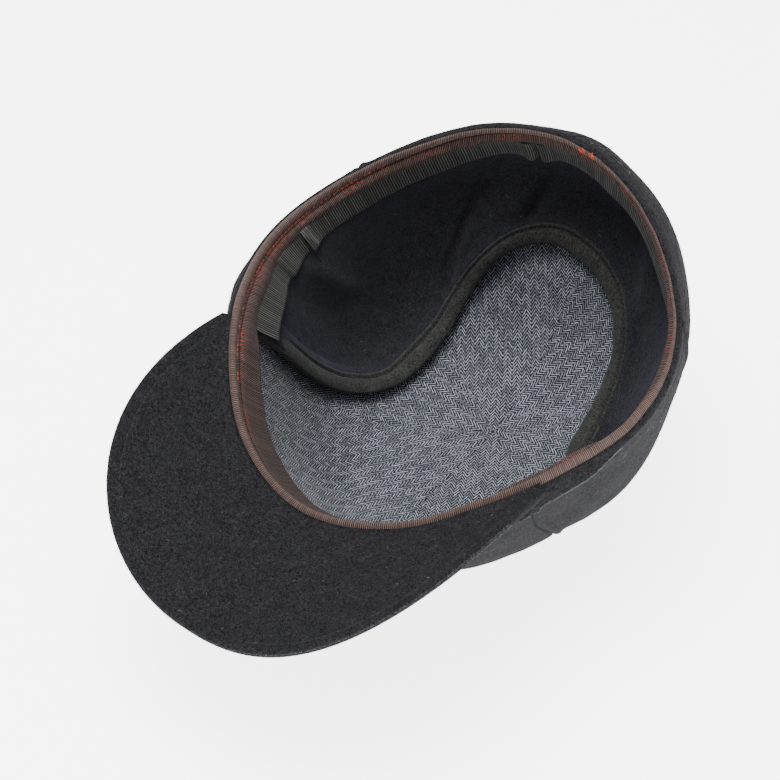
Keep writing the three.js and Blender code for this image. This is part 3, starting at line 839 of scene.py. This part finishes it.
# turn, then how far the free edge reaches down on the left and the right as shares of the drop
flapTable = [
    (121, 0.075, 0.075), (121, 0.19, 0.19), (120.5, 0.31, 0.31), (119.5, 0.44, 0.44), (118.5, 0.57, 0.57),
    (116.5, 0.7, 0.7), (113.5, 0.83, 0.84), (107.5, 0.935, 0.96), (97, 0.995, 1.03), (85, 1, 1.05),
    (74, 0.98, 1.04), (64, 0.955, 1.01), (55, 0.93, 0.985), (47, 0.885, 0.955), (39, 0.835, 0.915),
    (31, 0.79, 0.86), (22, 0.755, 0.82), (11, 0.745, 0.795),
]
# soft folds in the fleece: turn and run in mm of both ends, height and width in mm
fleeceFolds = [
    (10, 48, 38, 80, 6.2, 17), (25.5, 36, 48.3, 84, -5.8, 2.5), (11, 44, 22.6, 90, -6.5, 3.4), (-18, 30, -30, 84, 2.4, 8),
    (-36, 30, -48, 84, -1.2, 7), (88, 26, 80, 58, 2.0, 6), (98, 30, 92, 70, -0.8, 6),
]


def flapStations():  # the free edge as (turn, run), smooth, from the wearer's left to the right
    knots = [Vector((turn, left * flap["drop"])) for turn, left, right in flapTable]
    knots.append(Vector((0, flap["napeShare"] * flap["drop"])))
    knots += [Vector((-turn, right * flap["drop"])) for turn, left, right in reversed(flapTable)]
    knots = [2 * knots[0] - knots[1]] + knots + [2 * knots[-1] - knots[-2]]
    line = []
    for k in range(1, len(knots) - 2):
        for step in range(flap["stationRows"]):
            line.append(smoothPoint(knots[k - 1:k + 3], step / flap["stationRows"]))
    line.append(knots[-2])
    return line


freeEdge = flapStations()


def insideEdge(i, length):
    before, after = freeEdge[max(i - 2, 0)], freeEdge[min(i + 2, len(freeEdge) - 1)]
    perDegree = degreeLength(*freeEdge[i])
    around, down = (after.x - before.x) * perDegree, after.y - before.y
    share = length / math.hypot(around, down)
    return Vector((freeEdge[i].x - down * share / perDegree, freeEdge[i].y + around * share))


def flapTopTurns():
    walked = [0]
    for before, after in zip(freeEdge, freeEdge[1:]):
        walked.append(walked[-1] + 2 / flap["stationRows"] + abs(after.x - before.x))
    return [flap["topTurn"] * (1 - 2 * length / walked[-1]) for length in walked]


topTurns = flapTopTurns()
flapInsets = [size * mm for size in (1.5, 4, 7, 9.5, 11, 12.5, 14)]


def foldLift(turn, run, creased=0):  # the creases fade out under the binding
    lift = 0
    for turnA, runA, turnB, runB, height, width in fleeceFolds:
        size = degreeLength(turn, run) / mm
        start, end = Vector((turnA * size, runA)), Vector((turnB * size, runB))
        spot = Vector((turn * size, run / mm)) - start
        line = end - start
        t = spot.dot(line) / line.length_squared
        off = (spot - line * t).length
        share = smoothStep(t, -0.35, 0.25) * (1 - smoothStep(t, 0.8, 1.25))
        lift += height * bump(off, width) * share * (creased if height < 0 else 1)
    return lift * mm


def flapSpot(i, j):  # row 0 is just inside the free edge, the last row at the sweatband
    if j < len(flapInsets):
        return insideEdge(i, flapInsets[j])
    start = insideEdge(i, flapInsets[-1])
    top = Vector((topTurns[i], hemDepth))
    return start.lerp(top, (j - len(flapInsets) + 1) / flap["rowsAbove"])


def edgeLift(inset, run):  # the free edge stands off the lining, and is pressed flat under the sweatband
    off = flap["edgeLift"] * (1 - smoothStep(inset, 0, 24 * mm)) * smoothStep(run, 14 * mm, 38 * mm)
    return off - flap["pressed"] * (1 - smoothStep(run, 8 * mm, 24 * mm))


def layFlap(i, j):
    spot = flapSpot(i, j)
    inset = flapInsets[j] if j < len(flapInsets) else flapInsets[-1] + (j - len(flapInsets) + 1) * 2.5 * mm
    raised = 0.9 * mm * (1 - smoothStep(j, 4, 7))
    pushed = 0.45 * mm * readTable(ribbonLean, 1, min(max(spot.x, -119), 119)) * bump(spot.y - 20 * mm, 16 * mm)
    fuzzy = 0.12 * mm * noise.noise(Vector((spot.x * 1.6, spot.y / mm, 3)) / 3)
    lift = flapFace + raised + pushed + edgeLift(inset, spot.y) + fuzzy
    lift += foldLift(spot.x, spot.y, smoothStep(j, 3, 8))
    return onWall(spot.x, spot.y, max(lift, liningFace + flap["clear"]))


def flapPattern(i, j):
    spot = flapSpot(i, j)
    return (spot.x * degreeLength(*spot) / mm, spot.y / mm)


fleeceFlap = cloth("fleece_ear_flap", len(freeEdge) - 1, len(flapInsets) - 1 + flap["rowsAbove"], layFlap, flapPattern, inwards)
dress(thicken(fleeceFlap, flap["thickness"]), fleeceCloth, "fleece", "ear_flap")

binding = {"under": 2.3, "face": 5.5, "plump": 0.8, "width": 11.0, "stitchInset": 8.8, "sectionRows": 30}


@lru_cache(maxsize=None)
def bindingSection():  # inset from the free edge and lift, in mm
    low, top, wide = binding["under"], binding["face"], binding["width"]
    knots = [Vector(pair) for pair in (
        (wide - 1, low + 0.3), (5, low), (1.2, low), (0.15, low + 0.7), (0, (low + top) / 2), (0.2, top - 0.5),
        (1.4, top + 0.25), (3.4, top + binding["plump"]), (5.8, top + binding["plump"]), (7.6, top + 0.5),
        (binding["stitchInset"], top - 0.8), (10, top + 0.35), (wide, top - 0.1), (wide + 0.15, top - 0.75),
    )]
    line = throughPoints(knots, binding["sectionRows"])
    walked = [0]
    for before, after in zip(line, line[1:]):
        walked.append(walked[-1] + (after - before).length)
    return line, walked


def layBinding(i, j):
    inset, lift = bindingSection()[0][j] * mm
    spot = insideEdge(i, inset)
    return onWall(spot.x, spot.y, lift + edgeLift(inset, spot.y) + foldLift(spot.x, spot.y))


def edgeWalk():
    walked = [0]
    for before, after in zip(freeEdge, freeEdge[1:]):
        size = degreeLength(*after)
        walked.append(walked[-1] + math.hypot((after.x - before.x) * size, after.y - before.y) / mm)
    return walked


edgeWalked = edgeWalk()


def bindingPattern(i, j):
    return (edgeWalked[i], bindingSection()[1][j])


bindingPiece = cloth("flap_edge_tape", len(freeEdge) - 1, binding["sectionRows"], layBinding, bindingPattern, tube=True)
dress(bindingPiece, tapeCloth, "tape", "flap_binding")
print("flap made")


# Peak
peak = {
    "rootTurn": 120, "rootWidth": 1.6 * mm, "length": 67 * mm, "sideReach": 2.2 * mm, "sideShare": 0.12,
    "widestBack": 42 * mm, "roundness": 2.3, "tipRise": 22.5 * mm, "tipDroop": 5.7 * mm, "sideRise": 34.2 * mm,
    "thickness": 4.1 * mm, "columns": 120, "rows": 26, "wall": 1.4 * mm, "stitchInset": 5 * mm,
    "groove": 0.22 * mm, "grooveWidth": 0.6 * mm,
}
peakInsets = [0, 0.3, 0.75, 1.3, 2.05, 3, 3.8, 4.3, 4.65, 5, 5.35, 5.7, 6.2, 7.2, 9]  # mm inside the edge


def peakRoot(turn, off):
    point, inward = onLine(turn, 0)
    return point + inward * off


def rootAt(share, off):
    turn = peak["rootTurn"] + (180 - peak["rootTurn"]) * share
    low = math.floor(turn)
    return peakRoot(low, off).lerp(peakRoot(low + 1, off), turn - low)


def peakOutline(share):
    root = rootAt(0, -wool - gap)
    front = onLine(180, 0)[0]
    rootHalf, widestHalf = -root.x + peak["rootWidth"], -root.x + peak["sideReach"]
    widestY = front.y + peak["widestBack"]
    if share < peak["sideShare"]:
        t = share / peak["sideShare"]
        spread = 1 - (1 - t) ** 2
        return Vector((rootHalf + (widestHalf - rootHalf) * spread, root.y + (widestY - root.y) * t))
    angle = (share - peak["sideShare"]) / (1 - peak["sideShare"]) * math.pi / 2
    reach = front.y - peak["length"] - widestY
    return Vector((
        widestHalf * max(math.cos(angle), 0) ** (2 / peak["roundness"]),
        widestY + reach * math.sin(angle) ** (2 / peak["roundness"]),
    ))


def peakHeight(x, y):
    front = onLine(180, 0)[0]
    half = peak["sideReach"] - rootAt(0, -wool - gap).x
    forward, aside = (front.y - y) / peak["length"], x / half
    z = front.z + peak["tipRise"] * forward - peak["tipDroop"] * forward ** 2 + peak["sideRise"] * aside ** 2
    slopeAside = 2 * peak["sideRise"] * aside / half
    slopeForward = (peak["tipRise"] - 2 * peak["tipDroop"] * forward) / peak["length"]
    return z, math.sqrt(1 + slopeAside ** 2 + slopeForward ** 2)


@lru_cache(maxsize=None)
def peakColumn(i, off):
    share = 1 - abs(2 * i / peak["columns"] - 1)
    root3 = rootAt(share, off)
    root = Vector((-root3.x, root3.y))
    tip = peakOutline(share)
    step = 0.004
    after, before = peakOutline(min(share + step, 1)), peakOutline(max(share - step, 0))
    ahead = (after - before).normalized() if share < 1 else Vector((-1, 0))
    outward = Vector((-ahead.y, ahead.x))
    if outward.dot(tip - root) < 0:
        outward = -outward
    reach = max((tip - root).dot(outward), 0.2 * mm)
    return share, root3, root, tip, reach


def peakSpot(i, inset, off):  # a place at a length inside the edge, in the cap's own frame
    share, root3, root, tip, reach = peakColumn(i, off)
    t = min(inset / reach, 1)
    spot = tip.lerp(root, t)
    return spot, t, root3, reach


def peakInset(i, j, off):
    reach = peakColumn(i, off)[4]
    squeeze = min(1, 0.8 * reach / (peakInsets[-1] * mm))
    if j < len(peakInsets):
        return peakInsets[j] * mm * squeeze
    start = peakInsets[-1] * mm * squeeze
    return start + (reach - start) * (j - len(peakInsets) + 1) / peak["rows"]


def layPeak(i, j, below):  # below: the cover on the far side, over the wearer's forehead when worn
    off, seat = (-wool - gap, -0.5 * mm) if below else (0.9 * mm, 1.9 * mm)
    inset = peakInset(i, j, off)
    spot, t, root3, reach = peakSpot(i, inset, off)
    z, steepness = peakHeight(spot.x, spot.y)
    rootZ, _ = peakHeight(-root3.x, root3.y)
    seated = (root3.z + seat - rootZ) * t ** (2 if below else 3)
    edge = min(peak["thickness"] / 2, reach * 0.45)
    drop = edge - math.sqrt(max(edge ** 2 - max(edge - inset, 0) ** 2, 0))
    half = peak["thickness"] / 2
    depth = drop * half / edge
    hand = -1 if i < peak["columns"] / 2 else 1
    groove = peak["groove"] * bump(inset - peak["stitchInset"], peak["grooveWidth"]) * smoothStep(reach, 7 * mm, 11 * mm)
    depth += groove
    around = Vector((hand * spot.x, spot.y, 0)) / mm
    depth += 0.25 * mm * noise.noise(around / 22) * smoothStep(inset, 2 * mm, 12 * mm)
    depth += 0.06 * mm * noise.noise(around / 2.4 + Vector((0, 0, 5 if below else 0)))
    if below:
        depth = peak["thickness"] - depth
    return layDown(Vector((hand * spot.x, spot.y, z + seated - depth * steepness)))


def peakPattern(i, j):
    spot = peakSpot(i, peakInset(i, j, 0.9 * mm), 0.9 * mm)[0]
    hand = -1 if i < peak["columns"] / 2 else 1
    return (hand * spot.x / mm, spot.y / mm)


def makePeakCover(name, below, node):
    rows = len(peakInsets) - 1 + peak["rows"]
    up = Vector((0, 0, -1 if below else 1))
    cover = cloth(name, peak["columns"], rows, lambda i, j: layPeak(i, j, below), peakPattern, lambda point: up)
    dress(thicken(cover, peak["wall"]), woolCloth, "wool", node)
    return cover


underCover = makePeakCover("peak_under", False, "peak_under_cover")
topCover = makePeakCover("peak_top", True, "peak_top_cover")
print("peak made")


# Stitches
def wallPath(turns, spotOf, side):
    path = []
    for turn in turns:
        run, lift = spotOf(turn)
        point = onWall(turn, run, lift)
        outer = onWall(turn, run, lift + side * mm)
        path.append((point, (outer - point).normalized()))
    return path


bandStitch = {"pitch": 2.3 * mm, "length": 1.7 * mm, "width": 0.55 * mm, "sink": -0.14 * mm, "unevenness": 2.5,
              "slant": 0.1}
hemStitch = {"pitch": 2.8 * mm, "length": 2.3 * mm, "width": 0.45 * mm, "sink": 0.05 * mm, "unevenness": 0.5,
             "slant": 0.0}
peakStitch = dict(hemStitch, pitch=3.0 * mm, length=2.5 * mm)
tapeStitch = dict(hemStitch, pitch=2.2 * mm, length=1.8 * mm, width=0.75 * mm)



def grooveSpot(turn):
    line, _ = bandSection(round(turn % 360, 2))
    lift, run = line[band["grooveRow"]] * mm
    return run, lift + 0.1 * mm


groovePath = wallPath([k * 0.5 for k in range(721)], grooveSpot, 1)
stitchRow("band_stitches", groovePath, bandStitch, redThread, "knit")
hemPath = wallPath([k * 0.5 for k in range(721)],
                   lambda turn: (woolPanel["hemStitch"], woolFace(turn, woolPanel["hemStitch"])), -1)
stitchRow("hem_stitches", hemPath, hemStitch, darkThread, "wool")


def peakPath(below):
    path = []
    row = peakInsets.index(5)
    for i in range(peak["columns"] + 1):
        if peakColumn(i, -wool - gap)[4] < 9 * mm:
            continue
        point = layPeak(i, row, below)
        path.append((point, Vector((0, 0, -1 if below else 1))))
    return path


stitchRow("peak_under_stitches", peakPath(False), peakStitch, darkThread, "wool")
stitchRow("peak_top_stitches", peakPath(True), peakStitch, darkThread, "wool")


def tapePath():
    path = []
    inset = binding["stitchInset"] * mm
    for i in range(len(freeEdge)):
        spot = insideEdge(i, inset)
        lift = (binding["face"] - 0.2) * mm + edgeLift(inset, spot.y) + foldLift(spot.x, spot.y)
        point = onWall(spot.x, spot.y, lift)
        path.append((point, (onWall(spot.x, spot.y, lift + mm) - point).normalized()))
    return path


stitchRow("tape_stitches", tapePath(), tapeStitch, tapeThread, "tape")

# the tacks at the back: turn and row of the sweatband where each bundle starts and ends, its count of strokes
backTacks = [(-3.4, 6, -4.4, 17, 10), (-3.8, 9, -6.6, 15, 6), (-6.4, 7, -8.0, 16, 10)]


def onBand(turn, row, off):
    low = int(row)
    line, _ = bandSection(round(turn % 360, 2))
    lift, run = line[low].lerp(line[low + 1], row - low) * mm
    ahead = (line[low + 1] - line[low]).normalized()
    return onWall(turn, run - ahead.x * off, lift + ahead.y * off)


def makeBackTack():
    bm = bmesh.new()
    for turnA, rowA, turnB, rowB, count in backTacks:
        for _ in range(count):
            along = random.uniform(0.05, 0.8)
            off = random.uniform(0.2, 0.6) * mm
            turn = turnA + (turnB - turnA) * along + random.uniform(-0.8, 0.8)
            row = rowA + (rowB - rowA) * along
            start, end = onBand(turn, row, off), onBand(turn + random.uniform(-1, 0.4), row + 3, off)
            outer = onBand(turn, row, off + 1 * mm) - start
            addThread(bm, start.lerp(end, 0.5), (end - start).normalized(), outer.normalized(), 2.8 * mm, 0.34 * mm)
    return dress(finishedPiece("back_tack", bm), redThread, "knit")


makeBackTack()
print("stitches made")


# Stray fibres: short light lint on the cloth, a fine fuzz on the wool, and fuzz along the peak's edge and the crease
# beside it in a lighter colour, a painted highlight
def strands(name, strokes, width, material, slot):  # each stroke is a list of four points and a side
    bm = bmesh.new()
    bmesh.ops.create_grid(bm, x_segments=3, y_segments=2 * len(strokes) - 1, size=0.5)
    rows = {}
    for vert in bm.verts:
        rows[vert] = (round((vert.co.x + 0.5) * 3), round((vert.co.y + 0.5) * (2 * len(strokes) - 1)))
    between = [face for face in bm.faces if min(rows[vert][1] for vert in face.verts) % 2]
    for vert, (i, j) in rows.items():
        points, side = strokes[j // 2]
        taper = (0.7, 1, 0.9, 0.25)[i]
        vert.co = points[i] + side * width * taper * (j % 2 - 0.5)
    bmesh.ops.delete(bm, geom=between, context="FACES")
    return dress(finishedPiece(name, bm), material, slot)


def strayFibre(point, off, length, height):
    ahead = off.cross(Vector([random.uniform(-1, 1) for _ in range(3)])).normalized()
    aside = off.cross(ahead)
    bend = random.uniform(-0.5, 0.5)
    points = []
    for t in (0, 0.35, 0.7, 1):
        along = ahead * (t - 0.3) + aside * bend * (t - 0.5) ** 2 * 2
        points.append(point + along * length + off * height * math.sin(math.pi * (0.1 + 0.8 * t)))
    return points, aside * 0.6 + off * 0.8


def onWool(turn, run):
    lift = woolFace(turn, run)
    point = onWall(turn, run, lift)
    return point, (onWall(turn, run, lift - mm) - point).normalized()


def onPeak(below):
    i = random.randint(4, peak["columns"] - 4)
    j = random.randint(1, len(peakInsets) + peak["rows"] - 3)
    point, ahead = layPeak(i, j, below), layPeak(i + 1, j, below) - layPeak(i, j, below)
    across = layPeak(i, j + 1, below) - point
    off = ahead.cross(across).normalized()
    if (off.z < 0) != below:
        off.negate()
    return point + (ahead * random.random() + across * random.random()), off


def onPeakEdge():
    i, j = random.randint(9, peak["columns"] - 10), random.choice((0, 0, 1))
    point = layPeak(i, j, False).lerp(layPeak(i + 1, j, False), random.random())
    return point, (point - layPeak(i, 6, False)).normalized() * 0.6 + Vector((0, 0, 0.8))


def onFlap():
    i, j = random.randint(3, len(freeEdge) - 4), random.randint(len(flapInsets), len(flapInsets) + flap["rowsAbove"] - 4)
    point = layFlap(i, j)
    off = (layFlap(i + 1, j) - point).cross(layFlap(i, j + 1) - point).normalized()
    return point, off if off.dot(inwards(point)) > 0 else -off


fuzzLook = {"woolFuzz": 5200, "peakFuzz": 2600, "fuzzLength": (0.8, 2.2), "fuzzWidth": 0.07 * mm,
            "edgeFuzz": 5000, "edgeLength": (0.5, 1.2), "edgeWidth": 0.06 * mm,
            "backLint": [(-4, 4.5), (-6.5, 5), (-12, 7), (-15, 8), (8, 4)],
            "lint": 150, "lintLength": (0.7, 2.6), "lintWidth": 0.1 * mm,
            "floorGap": 0.3 * mm}


def makeFibres():
    look = fuzzLook
    fuzzStrokes, lintStrokes = [], []

    def add(strokes, place, lengths, height):
        stroke = strayFibre(*place, random.uniform(*lengths) * mm, height * random.uniform(0.4, 1) * mm)
        if min(point.z for point in stroke[0]) > look["floorGap"]:  # none of them under the cap, in the floor
            strokes.append(stroke)

    for _ in range(look["woolFuzz"]):
        add(fuzzStrokes, onWool(random.uniform(0, 360), (random.random() ** 1.6 * 120 + 1.4) * mm), look["fuzzLength"], 0.55)
    for _ in range(look["peakFuzz"]):
        add(fuzzStrokes, onPeak(random.random() < 0.4), look["fuzzLength"], 0.55)
    for turn, run in look["backLint"]:
        for _ in range(4):
            place = onWool(turn + random.uniform(-0.8, 0.8), (run + random.uniform(-1, 1)) * mm)
            add(lintStrokes, place, look["lintLength"], 0.8)
    for _ in range(look["lint"]):
        pick = random.random()
        if pick < 0.35:
            place = onFlap()
        elif pick < 0.75:
            place = onPeak(False)
        else:
            place = onWool(random.uniform(0, 360), random.uniform(2, 40) * mm)
        add(lintStrokes, place, look["lintLength"], 0.4)
    # fuzz along the peak's edge and the crease beside it, drawn in the lighter fibre colour as a painted highlight
    edgeStrokes = []
    for _ in range(look["edgeFuzz"]):
        if random.random() < 0.6:
            place = onPeakEdge()
        else:
            side = random.uniform(97, 127)
            run = (readTable(flareLine, 1, side) + 0.6 + random.gauss(0, 0.5)) * mm
            place = onWool(random.choice((side, 360 - side)), run)
        add(edgeStrokes, place, look["edgeLength"], 0.5)
    strands("edge_fuzz", edgeStrokes, look["edgeWidth"], edgeFibrePaintedHighlight, "wool")
    strands("wool_fuzz", fuzzStrokes, look["fuzzWidth"], fuzzFibre, "wool")
    strands("lint", lintStrokes, look["lintWidth"], lintFibre, "wool")


fuzzFibre = makeThread("fuzzFibre", (0.05, 0.05, 0.055), 0.9)
# real stray wool fibres, coloured lighter than the other fuzz: a painted highlight along the edges where they catch the
# light
edgeFibrePaintedHighlight = makeThread("edgeFibrePaintedHighlight", (0.13, 0.13, 0.14), 0.9)
lintFibre = makeThread("lintFibre", (0.2, 0.2, 0.22), 0.9)
makeFibres()
print("fibres made")


# Floor, lights and camera
def makeStage():
    bpy.ops.mesh.primitive_plane_add(size=8)
    floor = bpy.context.object
    floor.name = "floor"
    material, tree, surface = newMaterial("paleFloor")
    surface.inputs["Base Color"].default_value = (0.9, 0.9, 0.9, 1)
    surface.inputs["Roughness"].default_value = 0.8
    surface.inputs["Emission Color"].default_value = (1, 1, 1, 1)
    surface.inputs["Emission Strength"].default_value = 4.2
    floor.data.materials.append(material)
    world = bpy.data.worlds.new("studio")
    bpy.context.scene.world = world
    world.use_nodes = True
    world.node_tree.nodes["Background"].inputs["Color"].default_value = (1, 1, 1, 1)
    world.node_tree.nodes["Background"].inputs["Strength"].default_value = 1.0


studioLights = [  # name, place, size and power: a broad light overhead, a low one from the near right
    ("overhead", (-0.12, -0.1, 1.2), 0.7, 28),
    ("near_right", (0.8, -0.6, 0.06), 0.5, 8),
]


def makeLights():
    target = Vector((0, 0, 0.05))
    for name, place, size, power in studioLights:
        lamp = bpy.data.lights.new(name, "AREA")
        lamp.shape = "DISK"
        lamp.size = size
        lamp.energy = power
        light = bpy.data.objects.new(name, lamp)
        light.location = place
        light.rotation_euler = (target - Vector(place)).to_track_quat("-Z", "Y").to_euler()
        bpy.context.scene.collection.objects.link(light)


cameraView = {"eye": Vector((378.0, -531.4, 620.7)) * mm, "look": (-0.42680, 0.55700, -0.71246), "lens": 100.03,
              "sensor": 36.0}


def makeCamera():
    lens = bpy.data.cameras.new("camera")
    lens.lens = cameraView["lens"]
    lens.sensor_width = cameraView["sensor"]
    camera = bpy.data.objects.new("camera", lens)
    camera.location = crownShape["mouthCentre"] + cameraView["eye"]
    camera.rotation_euler = Vector(cameraView["look"]).to_track_quat("-Z", "Y").to_euler()
    bpy.context.scene.collection.objects.link(camera)
    bpy.context.scene.camera = camera


def declareCloth():
    for panels, below in ((woolPanels, None), (liningPanels, woolPanels)):
        for index, panel in enumerate(panels):
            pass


declareCloth()
makeStage()
makeLights()
makeCamera()
print("stage made")
